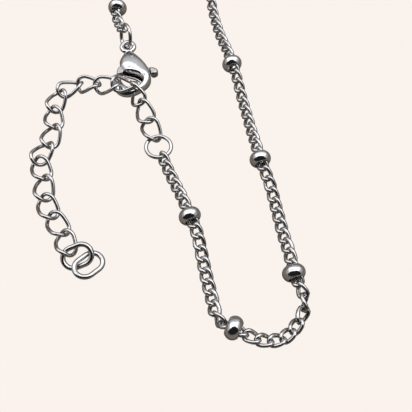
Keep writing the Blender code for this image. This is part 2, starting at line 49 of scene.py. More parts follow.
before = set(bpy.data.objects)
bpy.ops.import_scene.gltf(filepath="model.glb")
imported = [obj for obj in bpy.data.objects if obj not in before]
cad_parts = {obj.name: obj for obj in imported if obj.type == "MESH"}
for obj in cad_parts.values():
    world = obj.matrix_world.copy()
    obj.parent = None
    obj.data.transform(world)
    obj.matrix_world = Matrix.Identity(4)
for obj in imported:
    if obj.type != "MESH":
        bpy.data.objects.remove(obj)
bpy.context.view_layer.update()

MM = 0.001

# The main chain's route on the table, from the extender's ring to the clasp's ring.
# Columns: kind of point, x and y, and how far the chain is rolled on its side in degrees.
CHAIN_ROUTE = (
    ("bend", -6.8, 7.0, 35),
    ("bend", -5.9, 5.0, 35),
    ("bend", -4.3, 1.3, 35),
    ("bead", -2.7, -2.9, 30),
    ("bend", -1.6, -5.5, 20),
    ("bend", -0.7, -9.5, 12),
    ("bend", 0.1, -13.5, 12),
    ("bend", 1.0, -17.3, 15),
    ("bend", 1.4, -19.6, 35),
    ("bend", 2.2, -21.1, 90),
    ("bead", 4.2, -21.9, 140),
    ("bend", 6.0, -22.9, 170),
    ("bend", 7.3, -23.5, 180),
    ("bend", 9.2, -23.7, 180),
    ("bend", 11.2, -23.5, 180),
    ("bend", 12.9, -22.4, 180),
    ("bend", 14.2, -20.8, 185),
    ("bend", 15.2, -18.9, 225),
    ("bend", 15.3, -16.9, 280),
    ("bend", 14.6, -14.9, 315),
    ("bead", 13.9, -13.0, 325),
    ("bend", 13.5, -9.8, 330),
    ("bend", 12.9, -6.6, 330),
    ("bend", 12.1, -2.0, 330),
    ("bend", 11.1, 3.2, 330),
    ("bend", 10.2, 5.8, 327),
    ("bead", 9.5, 8.3, 325),
    ("bend", 8.7, 12.4, 320),
    ("bend", 7.7, 17.8, 315),
    ("bend", 6.7, 22.6, 315),
    ("bend", 5.7, 27.4, 315),
    ("bead", 5.0, 30.0, 315),
    ("bend", 4.2, 33.4, 315),
    ("bend", 2.2, 40.8, 315),
    ("bend", 1.0, 48.2, 315),
    ("bend", 1.4, 57.0, 315),
    ("bend", 5.0, 72.0, 315),
    ("bend", 12.0, 92.0, 315),
    ("bend", 16.5, 113.0, 315),
    ("bend", 14.0, 135.0, 315),
    ("bend", 0.5, 152.0, 330),
    ("bend", -20.5, 157.0, 350),
    ("bend", -39.5, 147.0, 370),
    ("bend", -48.0, 127.0, 390),
    ("bend", -46.5, 104.0, 405),
    ("bend", -38.0, 82.0, 405),
    ("bend", -27.5, 63.0, 405),
    ("bend", -20.6, 52.0, 405),
    ("bead", -18.1, 44.9, 405),
    ("bend", -18.5, 43.7, 400),
    ("bend", -18.0, 42.0, 390),
    ("bend", -17.3, 40.0, 375),
)
CHAIN_REST = 0.7  # height of the chain's middle where its links lie flat
CHAIN_EDGE_RISE = 0.35  # and how much higher it runs where they stand on edge
BEAD_SPACING = 22.3  # along the hidden stretch
BEAD_HEADING_REACH = 0.75  # to either side of a bead, where the chain gives the way it points
BEAD_LEVEL_REACH = 2.0  # the chain runs at a bead's middle this far, and is back down at the next one
BEAD_LIFT_REACH = 8.0
RING_LIFT_REACH = 4.0
WIRE_BITE = 0.1  # how far the wires of neighbouring links run into each other
HOOKED_REACH = 1.75  # from a round ring's middle to the joint of the link that hooks into it
LINK_TWIST = 90  # degrees from end to end

# Steps round a loop of wire, and the roundness of the wire, for the many small links and for the rest
SMALL_LOOP = (16, 1)
LARGE_LOOP = (64, 6)

# The rings. Columns: middle, heading of the long way, climb along it and roll about it in degrees.
EXTENDER_RING_PLACE = (-8.5, 11.5, 0.95, 0, 0, 0)
CLASP_RING_PLACE = (-15.8, 36.45, 2.5, 113, 0, -70)
END_RING_PLACES = (
    (-20.8, -9.9, 1.35, 18, 12, 23),
    (-18.9, -11.3, 1.1, 45, -10, 3),
)

# The extender's joints, and the roll of the link that starts at each, in degrees
EXTENDER_ROUTE = (
    (-9.1, 12.7, 0.95, 5),
    (-10.8, 17.5, 1.25, -30),
    (-12.05, 20.4, 1.55, -60),
    (-14.05, 25.05, 2.2, 0),
    (-16.6, 23.85, 3.35, -10),
    (-20.3, 24.1, 2.6, -5),
    (-24.2, 25.6, 1.25, 5),
    (-27.25, 23.85, 1.3, 0),
    (-28.55, 19.65, 0.95, 0),
    (-27.7, 16.1, 0.92, 0),
    (-28.35, 11.7, 0.92, 0),
    (-29.85, 8.8, 0.95, 0),
    (-28.15, 5.0, 0.92, 0),
    (-27.75, 1.0, 0.92, 0),
    (-26.05, -2.4, 0.92, 0),
    (-23.6, -5.65, 0.95, -5),
    (-22.35, -9.5, 1.55, 0),
)

# The clasp, in its own frame: the eye's middle at the origin, the hook towards -Y
CLASP_EYE_PLACE = (-15.4, 34.8)
CLASP_HEADING = 7  # degrees
CLASP_PIVOT = (1.3, -5.2)
PIN_MIDDLE_HEIGHT = 1.45
PIN_HOLE_RADIUS = 0.52
PIN_HOLE_LENGTH = 6.0
EYE_HEIGHT = 1.35
EYE_RADIUS = 1.2  # to the middle of its rim
EYE_RIM_RADIUS = 0.45
# Sections from the neck over the head, down the spine and round the hook to its tip.
# Columns: x and y of the inner edge, x and y of the outer edge, lowest and highest height, squareness
# of the outer side, and how much further the inner side's lower half reaches.
CLAW_SECTIONS = (
    (-0.7, -1.5, 0.7, -1.3, 0.75, 1.85, 0.8, 0),
    (-1.05, -2.0, 0.95, -1.65, 0.35, 2.0, 0.8, 0),
    (-1.6, -3.0, 1.6, -2.55, 0.03, 2.45, 0.8, 0),
    (-1.95, -4.1, 2.35, -3.65, 0.0, 2.8, 0.8, 0.1),
    (-2.1, -5.5, 3.0, -4.8, 0.0, 2.9, 0.75, 0.3),
    (-1.35, -6.7, 3.45, -5.8, 0.0, 2.9, 0.7, 0.6),
    (0.0, -7.25, 3.75, -6.8, 0.0, 2.9, 0.7, 0.9),
    (1.2, -7.7, 3.93, -7.7, 0.0, 2.88, 0.75, 0.9),
    (2.0, -8.4, 3.95, -8.6, 0.05, 2.8, 0.8, 0.8),
    (2.25, -9.1, 3.8, -9.6, 0.2, 2.65, 0.9, 0.5),
    (1.9, -9.8, 3.15, -10.6, 0.4, 2.5, 1.0, 0.2),
    (1.2, -10.3, 1.95, -11.6, 0.6, 2.45, 1.0, 0),
    (0.35, -10.6, 0.4, -12.5, 0.7, 2.46, 1.0, 0),
    (-0.5, -10.4, -1.4, -12.6, 0.7, 2.46, 1.0, 0),
    (-1.2, -9.8, -2.85, -11.6, 0.7, 2.42, 1.0, 0),
    (-1.65, -9.0, -3.3, -9.9, 0.78, 2.36, 1.0, 0),
    (-1.8, -8.3, -3.1, -8.5, 0.92, 2.25, 1.0, 0),
    (-1.97, -7.6, -2.74, -7.55, 1.0, 2.02, 1.0, 0),
)
# Outlines seen from above, and the heights they lie between: the head's slot, the lever's plate, and
# the gate and the thumb nub at its ends
SLOT_OUTLINE = (
    (-3.0, -4.2),
    (0.5, -3.6),
    (6.0, -3.9),
    (6.0, -7.9),
    (3.0, -8.6),
    (2.2, -9.4),
    (1.0, -9.3),
    (-0.9, -8.4),
    (-3.0, -7.6),
)
SLOT_HEIGHTS = (1.0, 1.9)
LEVER_OUTLINE = (
    (-1.25, -5.1),
    (0.5, -4.4),
    (1.3, -4.25),
    (2.2, -4.6),
    (3.0, -5.7),
    (4.6, -6.5),
    (4.6, -7.5),
    (2.8, -7.0),
    (1.3, -6.15),
    (-0.4, -5.95),
    (-1.3, -6.4),
    (-1.5, -7.1),
    (-2.25, -7.0),
    (-2.3, -6.3),
    (-2.0, -5.75),
)
LEVER_HEIGHTS = (1.12, 1.78)
GATE_OUTLINE = (
    (-2.1, -5.5),
    (-2.4, -6.2),
    (-2.55, -6.9),
    (-2.25, -7.2),
    (-1.3, -7.0),
    (-0.9, -6.0),
    (-1.6, -5.2),
)
GATE_HEIGHTS = (0.95, 2.1)
NUB_OUTLINE = (
    (3.75, -6.15),
    (4.7, -6.4),
    (5.35, -6.85),
    (5.35, -7.65),
    (4.7, -8.1),
    (3.95, -7.9),
)
NUB_HEIGHTS = (0.65, 2.25)
LEVER_END_ROUNDING = 0.52  # of the gate's and the nub's edges

# The fine grid in which the clasp's parts melt together, and how often its edges are smoothed
BODY_GRID, BODY_SMOOTHING = 0.056, 16
LEVER_GRID, LEVER_SMOOTHING = 0.05, 10

# Half of a bead's outline: shares of its half length and of its radius
BEAD_PROFILE = ((0.0, 1.0), (0.2, 0.99), (0.4, 0.96), (0.6, 0.905), (0.8, 0.82), (0.93, 0.74), (1.0, 0.68))
BORE_MOUTH = 0.96  # where the bore starts, as a share of the half length
BEAD_EDGE = 0.06  # width of the soft edges, where two faces meet at more than the next angle
BEAD_EDGE_ANGLE = 40  # degrees

# The softbox's short way, and its brightness over it and out to its ends
SOFTBOX_SHORT_WAY = (0, 0.937, -0.35)
SOFTBOX_ACROSS = (
    (-1.0, 0.02),
    (-0.5, 0.02),
    (-0.4, 2.6),
    (0.3, 2.6),
    (0.42, 0.9),
    (0.7, 0.6),
    (0.95, 0.2),
)
SOFTBOX_ALONG = ((0.0, 1.0), (0.6, 1.0), (0.85, 0.3), (0.95, 0.2))
# The lamp's bar, a shadow in the left half of the softbox
BAR_ACROSS = ((-0.17, 1.0), (-0.12, 0.2), (-0.01, 0.2), (0.05, 1.0))
BAR_ALONG = ((-0.65, 1.0), (-0.5, 0.0), (-0.1, 0.0), (0.1, 1.0))
# The room's brightness by height, and the height at which it has given way to the softbox
ROOM_BY_HEIGHT = ((-1.0, 0.08), (-0.5, 0.26), (-0.1, 0.24), (0.15, 0.12), (0.35, 0.03))
ROOM_TOP = 0.2
SOFTBOX_LIGHT = "F6F8FF"  # cool
ROOM_LIGHT = "FFF1E6"  # warm

SCRATCH_WIDTH = 0.03
TURNING_FEED = 0.08
NOISE_SPAN = (0.35, 0.7)  # where most of a noise pattern's values lie

# The table is the floor of a wide, closed drum of the same card. These three are metres.
DRUM_RADIUS = 1.5
DRUM_HEIGHT = 1.2
TABLE_LEVEL = -0.00002  # just under the CAD's lowest point

# The view: the camera looks down at the tables' origin
VIEW_ELEVATION = 62  # degrees
VIEW_DISTANCE = 100.86
IMAGE_WIDTH = 412
FOCAL_PIXELS = 588
SENSOR_WIDTH = 36


def linear(hex_colour):
    """The linear colour of an sRGB hex value such as "FAF2EC"."""
    parts = [int(hex_colour[i : i + 2], 16) / 255 for i in (0, 2, 4)]
    return tuple(c / 12.92 if c <= 0.04045 else ((c + 0.055) / 1.055) ** 2.4 for c in parts) + (1.0,)


class WireSizes(PropertyGroup):
    """Sizes of the wires, links and rings."""

    chain_wire: FloatProperty(name="Chain wire", description="Diameter of the main chain's wire",
                              default=0.7 * MM, unit="LENGTH")
    chain_width: FloatProperty(name="Chain width", description="Width of a main chain link",
                               default=2.28 * MM, unit="LENGTH")
    chain_pitch: FloatProperty(name="Chain pitch", description="Length that each main link adds",
                               default=2.0 * MM, unit="LENGTH")
    extender_wire: FloatProperty(name="Extender wire", description="Diameter of the extender's wire",
                                 default=0.65 * MM, unit="LENGTH")
    extender_length: FloatProperty(name="Extender link length", description="Length of an extender link",
                                   default=5.5 * MM, unit="LENGTH")
    extender_width: FloatProperty(name="Extender link width", description="Width of an extender link",
                                  default=3.8 * MM, unit="LENGTH")
    ring_wire: FloatProperty(name="Ring wire", description="Diameter of the round rings' wire",
                             default=0.7 * MM, unit="LENGTH")
    ring_diameter: FloatProperty(name="Ring diameter", description="Outer diameter of a round ring",
                                 default=5.2 * MM, unit="LENGTH")
    end_ring_wire: FloatProperty(name="End ring wire", description="Diameter of the end rings' wire",
                                 default=0.85 * MM, unit="LENGTH")
    end_ring_length: FloatProperty(name="End ring length", description="Long way of an end ring",
                                   default=5.7 * MM, unit="LENGTH")
    end_ring_width: FloatProperty(name="End ring width", description="Short way of an end ring",
                                  default=4.2 * MM, unit="LENGTH")


class BeadSizes(PropertyGroup):
    """Sizes of a bead."""

    diameter: FloatProperty(name="Diameter", description="Largest diameter of a bead",
                            default=3.8 * MM, unit="LENGTH")
    length: FloatProperty(name="Length", description="Length of a bead along the chain",
                          default=2.2 * MM, unit="LENGTH")
    bore: FloatProperty(name="Bore", description="Diameter of the hole along a bead",
                        default=2.34 * MM, unit="LENGTH")
    segments: IntProperty(name="Segments", description="Faces round a bead", default=48)


class Finish(PropertyGroup):
    """Colours of the steel and of the table."""

    bright: FloatVectorProperty(name="Bright steel", description="Colour of the polished beads and clasp",
                                subtype="COLOR", default=linear("CFCECC")[:3])
    wire: FloatVectorProperty(name="Wire", description="Colour of the drawn wire of chain and rings",
                              subtype="COLOR", default=linear("BDBBB8")[:3])
    dull: FloatVectorProperty(name="Dull steel", description="Colour of the stamped lever and its pin",
                              subtype="COLOR", default=linear("A09D99")[:3])
    table: FloatVectorProperty(name="Table", description="Colour of the pale table",
                               subtype="COLOR", default=linear("FAF2EC")[:3])


class NecklaceSettings(PropertyGroup):
    """All of the necklace's settings."""

    wires: PointerProperty(type=WireSizes)
    beads: PointerProperty(type=BeadSizes)
    finish: PointerProperty(type=Finish)


def settings():
    """The necklace's settings, kept in the scene."""
    return bpy.context.scene.necklace


def deselect():
    bpy.ops.object.select_all(action="DESELECT")


def make_active(piece):
    """Selects a piece alone, for the operators that act on what is selected."""
    deselect()
    piece.select_set(True)
    bpy.context.view_layer.objects.active = piece


def apply_modifier(piece, kind, **values):
    """Adds a modifier with its values and applies it."""
    make_active(piece)
    modifier = piece.modifiers.new(kind.title(), kind)
    for name, value in values.items():
        setattr(modifier, name, value)
    bpy.ops.object.modifier_apply(modifier=modifier.name)


def clasp_place():
    """From the clasp's own frame to the tables' frame, both in mm."""
    turn = Matrix.Rotation(math.radians(CLASP_HEADING), 4, "Z")
    return Matrix.Translation((*CLASP_EYE_PLACE, 0)) @ turn


def table_shift():
    """From the tables' origin to the CAD's, in metres, measured on the clasp's pin."""
    low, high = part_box("clasp_rivet")
    middle = (Vector(low) + Vector(high)) / 2
    return middle - clasp_place() @ Vector((*CLASP_PIVOT, PIN_MIDDLE_HEIGHT)) * MM


TABLE_SHIFT = table_shift()


def in_frame(matrix):
    """A placing given in mm in the tables' frame, as one in metres in the CAD's frame."""
    placing = matrix.copy()
    placing.translation = matrix.translation * MM + TABLE_SHIFT
    return placing


def placed(x, y, z, heading, climb, roll):
    """A ring's placing from a row of the tables, with its angles in degrees."""
    matrix = Matrix.Translation((x, y, z))
    for degrees, axis in ((heading, "Z"), (-climb, "Y"), (roll, "X")):
        matrix = matrix @ Matrix.Rotation(math.radians(degrees), 4, axis)
    return matrix


def facing(start, end, roll):
    """A frame halfway between two points, with its X along them and rolled about it."""
    along = (end - start).normalized()
    across = Vector((0, 0, 1)).cross(along).normalized()
    turn = Matrix((along, across, along.cross(across))).transposed().to_4x4()
    return Matrix.Translation((start + end) / 2) @ turn @ Matrix.Rotation(math.radians(roll), 4, "X")


def finish_piece(piece, name, material, body, nodes):
    """Names a piece, gives it its metal, and lets it stand for its CAD nodes."""
    piece.name = piece.data.name = name
    piece.data.materials.clear()
    piece.data.materials.append(material)
    make_active(piece)
    bpy.ops.object.shade_smooth()
    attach(piece, body)
    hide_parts(*nodes)
    deselect()


def add_node(tree, kind, choices=None, **links):
    """Adds a node with its choices, and links or sets the inputs named, or numbered as i0, i1 and so on."""
    node = tree.nodes.new(kind)
    for name, value in (choices or {}).items():
        setattr(node, name, value)
    for name, value in links.items():
        socket = node.inputs[int(name[1:])] if name[0] == "i" and name[1:].isdigit() else node.inputs[name]
        if isinstance(value, bpy.types.NodeSocket):
            tree.links.new(value, socket)
        else:
            socket.default_value = value
    return node


def ramp(tree, value, low, high, stops):
    """Reads a smooth curve of (value, brightness) stops between two ends."""
    share = add_node(tree, "ShaderNodeMapRange", Value=value, **{"From Min": low, "From Max": high})
    node = add_node(tree, "ShaderNodeValToRGB", Fac=share.outputs["Result"])
    points = node.color_ramp.elements
    while len(points) < len(stops):
        points.new(0.5)  # its place follows below
    for point, (at, bright) in zip(points, stops):
        point.position = (at - low) / (high - low)
        point.color = (bright, bright, bright, 1.0)
    return node.outputs["Color"]


def steel_material(name, colour, roughness, spread, grain, waves, scratches, stretch=(1, 1, 1), turned=0.0):
    """Stainless steel, from its lowest roughness up by the spread.

    The grain is the width of its soft waves. It and the depths of waves, scratches and turning marks
    are in mm. Stretch is that of the scratches, below 1 along an axis that they run with.
    """
    material = bpy.data.materials.new(name)
    material.use_nodes = True
    tree = material.node_tree
    shader = tree.nodes["Principled BSDF"]
    shader.inputs["Base Color"].default_value = (*colour, 1.0)
    shader.inputs["Metallic"].default_value = 1.0
    place = add_node(tree, "ShaderNodeTexCoord").outputs["Object"]
    # Handling and tumbling leave soft waves and a slight mottling, about as wide as the grain
    mottle = add_node(tree, "ShaderNodeTexNoise", Vector=place, Scale=1 / (grain * MM), Detail=2.0)
    rough = add_node(tree, "ShaderNodeMapRange", Value=mottle.outputs["Fac"], **{
        "From Min": NOISE_SPAN[0], "From Max": NOISE_SPAN[1],
        "To Min": roughness, "To Max": roughness + spread})
    tree.links.new(rough.outputs["Result"], shader.inputs["Roughness"])
    height = add_node(tree, "ShaderNodeMath", {"operation": "MULTIPLY"},
                      i0=mottle.outputs["Fac"], i1=waves * MM)
    # Hairline scratches from polishing, drawn SCRATCH_WIDTH wide so that they show
    drawn = add_node(tree, "ShaderNodeMapping", Vector=place, Scale=stretch)
    hairs = add_node(tree, "ShaderNodeTexNoise", Vector=drawn.outputs["Vector"],
                     Scale=1 / (SCRATCH_WIDTH * MM))
    height = add_node(tree, "ShaderNodeMath", {"operation": "MULTIPLY_ADD"},
                      i0=hairs.outputs["Fac"], i1=scratches * MM, i2=height.outputs["Value"])
    if turned:
        # The lathe tool's marks run round the axis, TURNING_FEED apart
        along = add_node(tree, "ShaderNodeAttribute", {"attribute_name": "along"})
        marks = add_node(tree, "ShaderNodeTexNoise", {"noise_dimensions": "1D"},
                         W=along.outputs["Fac"], Scale=1 / TURNING_FEED, Detail=1.0)
        height = add_node(tree, "ShaderNodeMath", {"operation": "MULTIPLY_ADD"},
                          i0=marks.outputs["Fac"], i1=turned * MM, i2=height.outputs["Value"])
    lifted = add_node(tree, "ShaderNodeBump", Height=height.outputs["Value"], Strength=1.0, Distance=1.0)
    tree.links.new(lifted.outputs["Normal"], shader.inputs["Normal"])
    return material


def link_line(length, width, wire, segments, twist):
    """The middle line of a link along X, twisted from end to end."""
    reach, half = (length - wire) / 2, (width - wire) / 2
    straight, arc = reach - half, math.pi * half / 2
    points = []
    for k in range(segments):
        side, step = divmod(k, segments // 2)
        walked = 2 * (arc + straight) * step / (segments // 2)
        if walked < arc:
            x, y = straight + half * math.cos(walked / half), half * math.sin(walked / half)
        elif walked < arc + 2 * straight:
            x, y = straight - (walked - arc), half
        else:
            angle = (walked - 2 * straight) / half
            x, y = half * math.cos(angle) - straight, half * math.sin(angle)
        if side:
            x, y = -x, -y
        turn = -twist * x / (2 * reach)
        points.append((x, y * math.cos(turn), y * math.sin(turn)))
    return points


def add_wire_loop(length, width, wire, twist_degrees, detail):
    """A closed loop of round wire, bent from a circle, as a mesh object."""
    segments, roundness = detail
    deselect()
    bpy.ops.curve.primitive_bezier_circle_add(radius=width / 2)
    loop = bpy.context.object
    curve = loop.data
    curve.splines.clear()
    spline = curve.splines.new("POLY")
    points = link_line(length, width, wire, segments, math.radians(twist_degrees))
    spline.points.add(len(points) - 1)
    for place, point in zip(spline.points, points):
        place.co = (*point, 1.0)
    spline.use_cyclic_u = True
    curve.dimensions = "3D"
    curve.twist_mode = "MINIMUM"
    curve.bevel_depth = wire / 2
    curve.bevel_resolution = roundness
    bpy.ops.object.convert(target="MESH")
    return loop


def copy_placed(piece, matrix):
    """A copy of a piece with its own mesh, moved to its place in that mesh."""
    copy = piece.copy()
    copy.data = piece.data.copy()
    bpy.context.scene.collection.objects.link(copy)
    copy.data.transform(matrix)
    return copy


def joined_copies(piece, matrices):
    """One mesh with a copy of a piece's shape at each place."""
    copies = [copy_placed(piece, matrix) for matrix in matrices]
    make_active(copies[0])
    for copy in copies:
        copy.select_set(True)
    bpy.ops.object.join()
    return copies[0]


def fade(share):
    """1 up to a share of 0, 0 from a share of 1, and a smooth fall between."""
    return math.cos(math.pi / 2 * min(max(share, 0.0), 1.0)) ** 2


def smooth_path(rows):
    """Samples of a smooth curve through the rows, the length at each sample and at each row."""
    rows = np.asarray(rows, float)
    ends = np.vstack([2 * rows[0] - rows[1], rows, 2 * rows[-1] - rows[-2]])
    steps = 12
    samples = []
    for a, b, c, d in zip(ends, ends[1:], ends[2:], ends[3:]):
        # Knots by the root of the distance keep the curve from looping where rows lie close together
        knots = np.cumsum([0.0] + [math.sqrt(math.dist(p[:2], q[:2])) for p, q in ((a, b), (b, c), (c, d))])
        for t in np.linspace(knots[1], knots[2], steps, endpoint=False):
            ab = (knots[1] - t) / knots[1] * a + t / knots[1] * b
            bc = ((knots[2] - t) * b + (t - knots[1]) * c) / (knots[2] - knots[1])
            cd = ((knots[3] - t) * c + (t - knots[2]) * d) / (knots[3] - knots[2])
            abc = ((knots[2] - t) * ab + t * bc) / knots[2]
            bcd = ((knots[3] - t) * bc + (t - knots[1]) * cd) / (knots[3] - knots[1])
            samples.append(((knots[2] - t) * abc + (t - knots[1]) * bcd) / (knots[2] - knots[1]))
    samples = np.array(samples + [rows[-1]])
    lengths = np.concatenate([[0.0], np.cumsum(np.linalg.norm(np.diff(samples[:, :2], axis=0), axis=1))])
    return samples, lengths, lengths[::steps]


def hooked_point(ring_place, towards):
    """Where a link's joint lies when the link hooks into a ring and pulls towards a point."""
    matrix = placed(*ring_place)
    local = matrix.inverted() @ Vector((*towards, ring_place[2]))
    local.z = 0
    return matrix @ (local.normalized() * HOOKED_REACH)


def link_overlap():
    """How much longer a main chain link is than the length it adds to the chain."""
    return 2 * settings().wires.chain_wire - WIRE_BITE * MM


class ChainPath:
    """The main chain's smooth route, with the places of its beads and joints along it."""

    def __init__(self):
        self.start = hooked_point(EXTENDER_RING_PLACE, CHAIN_ROUTE[0][1:3])
        self.finish = hooked_point(CLASP_RING_PLACE, CHAIN_ROUTE[-1][1:3])
        rows = [(self.start.x, self.start.y, CHAIN_ROUTE[0][3])]
        rows += [row[1:] for row in CHAIN_ROUTE]
        rows += [(self.finish.x, self.finish.y, CHAIN_ROUTE[-1][3])]
        self.samples, self.lengths, at_rows = smooth_path(rows)
        shown = [at_rows[i + 1] for i, row in enumerate(CHAIN_ROUTE) if row[0] == "bead"]
        hidden = round((shown[-1] - shown[-2]) / BEAD_SPACING)
        self.beads = shown[:-1] + list(np.linspace(shown[-2], shown[-1], hidden + 1))[1:]
        self.front_beads = len(shown)
        marks = [0.0] + self.beads + [self.lengths[-1]]
        pitch = settings().wires.chain_pitch / MM
        self.joints = []
        for a, b in zip(marks, marks[1:]):
            count = max(round((b - a) / pitch), 1)
            self.joints.append([a + (b - a) * k / count for k in range(count + 1)])

    def point(self, at):
        """The place and the roll at a length along the chain."""
        x, y, roll = (np.interp(at, self.lengths, column) for column in self.samples.T)
        height = CHAIN_REST + CHAIN_EDGE_RISE * abs(math.sin(math.radians(roll)))
        near = min(abs(at - bead) for bead in self.beads)
        share = (near - BEAD_LEVEL_REACH) / (BEAD_LIFT_REACH - BEAD_LEVEL_REACH)
        height += (settings().beads.diameter / MM / 2 - height) * fade(share)
        for end, ring in ((0.0, self.start.z), (self.lengths[-1], self.finish.z)):
            height += (ring - height) * fade(abs(at - end) / RING_LIFT_REACH)
        return Vector((x, y, height)), roll

    def link_places(self, first, last):
        """Placings of the links between two of the chain's stretches."""
        stretch = sum((part[:-1] for part in self.joints[first:last]), []) + [self.joints[last - 1][-1]]
        pitch = settings().wires.chain_pitch / MM
        overlap = link_overlap() / MM
        places = []
        for a, b in zip(stretch, stretch[1:]):
            start, end = self.point(a)[0], self.point(b)[0]
            matrix = facing(start, end, self.point((a + b) / 2)[1])
            stretched = ((end - start).length + overlap) / (pitch + overlap)
            places.append(in_frame(matrix) @ Matrix.Diagonal((stretched, 1, 1, 1)))
        return places


class NECKLACE_OT_chain(Operator):
    """Builds the main chain of twisted links, in its three stretches"""

    bl_idname = "necklace.chain"
    bl_label = "Main Chain"

    def execute(self, context):
        wires = settings().wires
        path = ChainPath()
        length = wires.chain_pitch + link_overlap()
        link = add_wire_loop(length, wires.chain_width, wires.chain_wire, LINK_TWIST, SMALL_LOOP)
        # Curb chain of drawn stainless wire, barrel polished: bright, with faint knocks from the barrel
        metal = steel_material("barrel_polished_wire", settings().finish.wire, roughness=0.12, spread=0.1,
                               grain=0.6, waves=0.02, scratches=0.0015)
        ends = path.front_beads, len(path.joints) - 1
        stretches = (("chain_front", 0, ends[0]), ("chain_back", ends[0], ends[1]),
                     ("chain_clasp_end", ends[1], len(path.joints)))
        for name, first, last in stretches:
            stretch = joined_copies(link, path.link_places(first, last))
            finish_piece(stretch, name + "_links", metal, "necklace", [name])
        bpy.data.objects.remove(link)
        return {"FINISHED"}


class NECKLACE_OT_beads(Operator):
    """Turns one drilled bead and threads its copies on the chain"""

    bl_idname = "necklace.beads"
    bl_label = "Beads"

    def execute(self, context):
        sizes = settings().beads
        path = ChainPath()
        bead = self.turned_bead(sizes)
        # Solid beads of turned stainless steel, mirror polished: the highlight breaks up on soft waves
        metal = steel_material("mirror_polished_bead", settings().finish.bright, roughness=0.07, spread=0.06,
                               grain=0.9, waves=0.05, scratches=0.001, turned=0.003)
        for number, at in enumerate(path.beads, 1):
            ahead, behind = path.point(at + BEAD_HEADING_REACH)[0], path.point(at - BEAD_HEADING_REACH)[0]
            place = facing(behind, ahead, 0)
            place.translation = path.point(at)[0]
            copy = copy_placed(bead, in_frame(place))
            name = f"bead_{number:02d}"
            finish_piece(copy, name + "_turned", metal, "necklace", [name])
        bpy.data.objects.remove(bead)
        return {"FINISHED"}

    @staticmethod
    def turned_bead(sizes):
        """A bead along X: one circle extruded along the outline, back through the bore, and closed."""
        half, radius, bore = sizes.length / 2, sizes.diameter / 2, sizes.bore / 2
        right = [(x * half, r * radius) for x, r in BEAD_PROFILE]
        rim = [(half, (right[-1][1] + bore) / 2), (half * BORE_MOUTH, bore)]
        outline = [(-x, r) for x, r in reversed(right[1:])] + right + rim
        outline += [(0.0, bore)] + [(-x, r) for x, r in reversed(rim)]
        deselect()
        bpy.ops.mesh.primitive_circle_add(vertices=sizes.segments, radius=1.0, rotation=(0, math.pi / 2, 0))
        bead = bpy.context.object
        bpy.ops.object.transform_apply(rotation=True)
        bpy.ops.object.mode_set(mode="EDIT")
        bpy.ops.mesh.select_all(action="SELECT")
        x, r = outline[0]
        bpy.ops.transform.resize(value=(1, r, r))
        bpy.ops.transform.translate(value=(x, 0, 0))
        for (x0, r0), (x1, r1) in zip(outline, outline[1:]):
            bpy.ops.mesh.extrude_edges_move(TRANSFORM_OT_translate={"value": (x1 - x0, 0, 0)})
            bpy.ops.transform.resize(value=(1, r1 / r0, r1 / r0), center_override=(x1, 0, 0))
        bpy.ops.mesh.select_all(action="DESELECT")
        bpy.ops.mesh.select_non_manifold()
        bpy.ops.mesh.bridge_edge_loops()
        bpy.ops.mesh.select_all(action="SELECT")
        bpy.ops.mesh.normals_make_consistent(inside=False)
        bpy.ops.object.mode_set(mode="OBJECT")
        apply_modifier(bead, "BEVEL", width=BEAD_EDGE * MM, segments=2, limit_method="ANGLE",
                       angle_limit=math.radians(BEAD_EDGE_ANGLE))
        along = bead.data.attributes.new("along", "FLOAT", "POINT")
        along.data.foreach_set("value", [vertex.co.x / MM for vertex in bead.data.vertices])
        return bead


class NECKLACE_OT_extender(Operator):
    """Bends the extender's links and the four rings"""

    bl_idname = "necklace.extender"
    bl_label = "Extender and Rings"

    def execute(self, context):
        wires = settings().wires
        # Extender links of drawn stainless wire, barrel polished: long highlights with soft, uneven edges
        metal = steel_material("polished_extender_wire", settings().finish.wire, roughness=0.1, spread=0.08,
                               grain=0.9, waves=0.025, scratches=0.0012)
        link = add_wire_loop(wires.extender_length, wires.extender_width, wires.extender_wire, LINK_TWIST,
                             LARGE_LOOP)
        for number, (start, end) in enumerate(zip(EXTENDER_ROUTE, EXTENDER_ROUTE[1:]), 1):
            place = in_frame(facing(Vector(start[:3]), Vector(end[:3]), start[3]))
            name = f"extender_link_{number:02d}"
            finish_piece(copy_placed(link, place), name + "_bent", metal, "necklace", [name])
        bpy.data.objects.remove(link)
        # Jump rings, cut from coiled stainless wire and tumbled: the brightest of the wires
        metal = steel_material("tumbled_jump_ring", settings().finish.wire, roughness=0.09, spread=0.07,
                               grain=0.8, waves=0.02, scratches=0.001)
        round_ring = (wires.ring_diameter, wires.ring_diameter, wires.ring_wire)
        oval_ring = (wires.end_ring_length, wires.end_ring_width, wires.end_ring_wire)
        rings = [("extender_ring", EXTENDER_RING_PLACE, round_ring, "round_ring"),
                 ("clasp_ring", CLASP_RING_PLACE, round_ring, "round_ring"),
                 ("end_ring_1", END_RING_PLACES[0], oval_ring, "end_ring"),
                 ("end_ring_2", END_RING_PLACES[1], oval_ring, "end_ring")]
        for name, place, size, slot in rings:
            ring = add_wire_loop(*size, 0, LARGE_LOOP)
            ring.data.transform(in_frame(placed(*place)))
            finish_piece(ring, name + "_bent", metal, "necklace", [name])
        return {"FINISHED"}


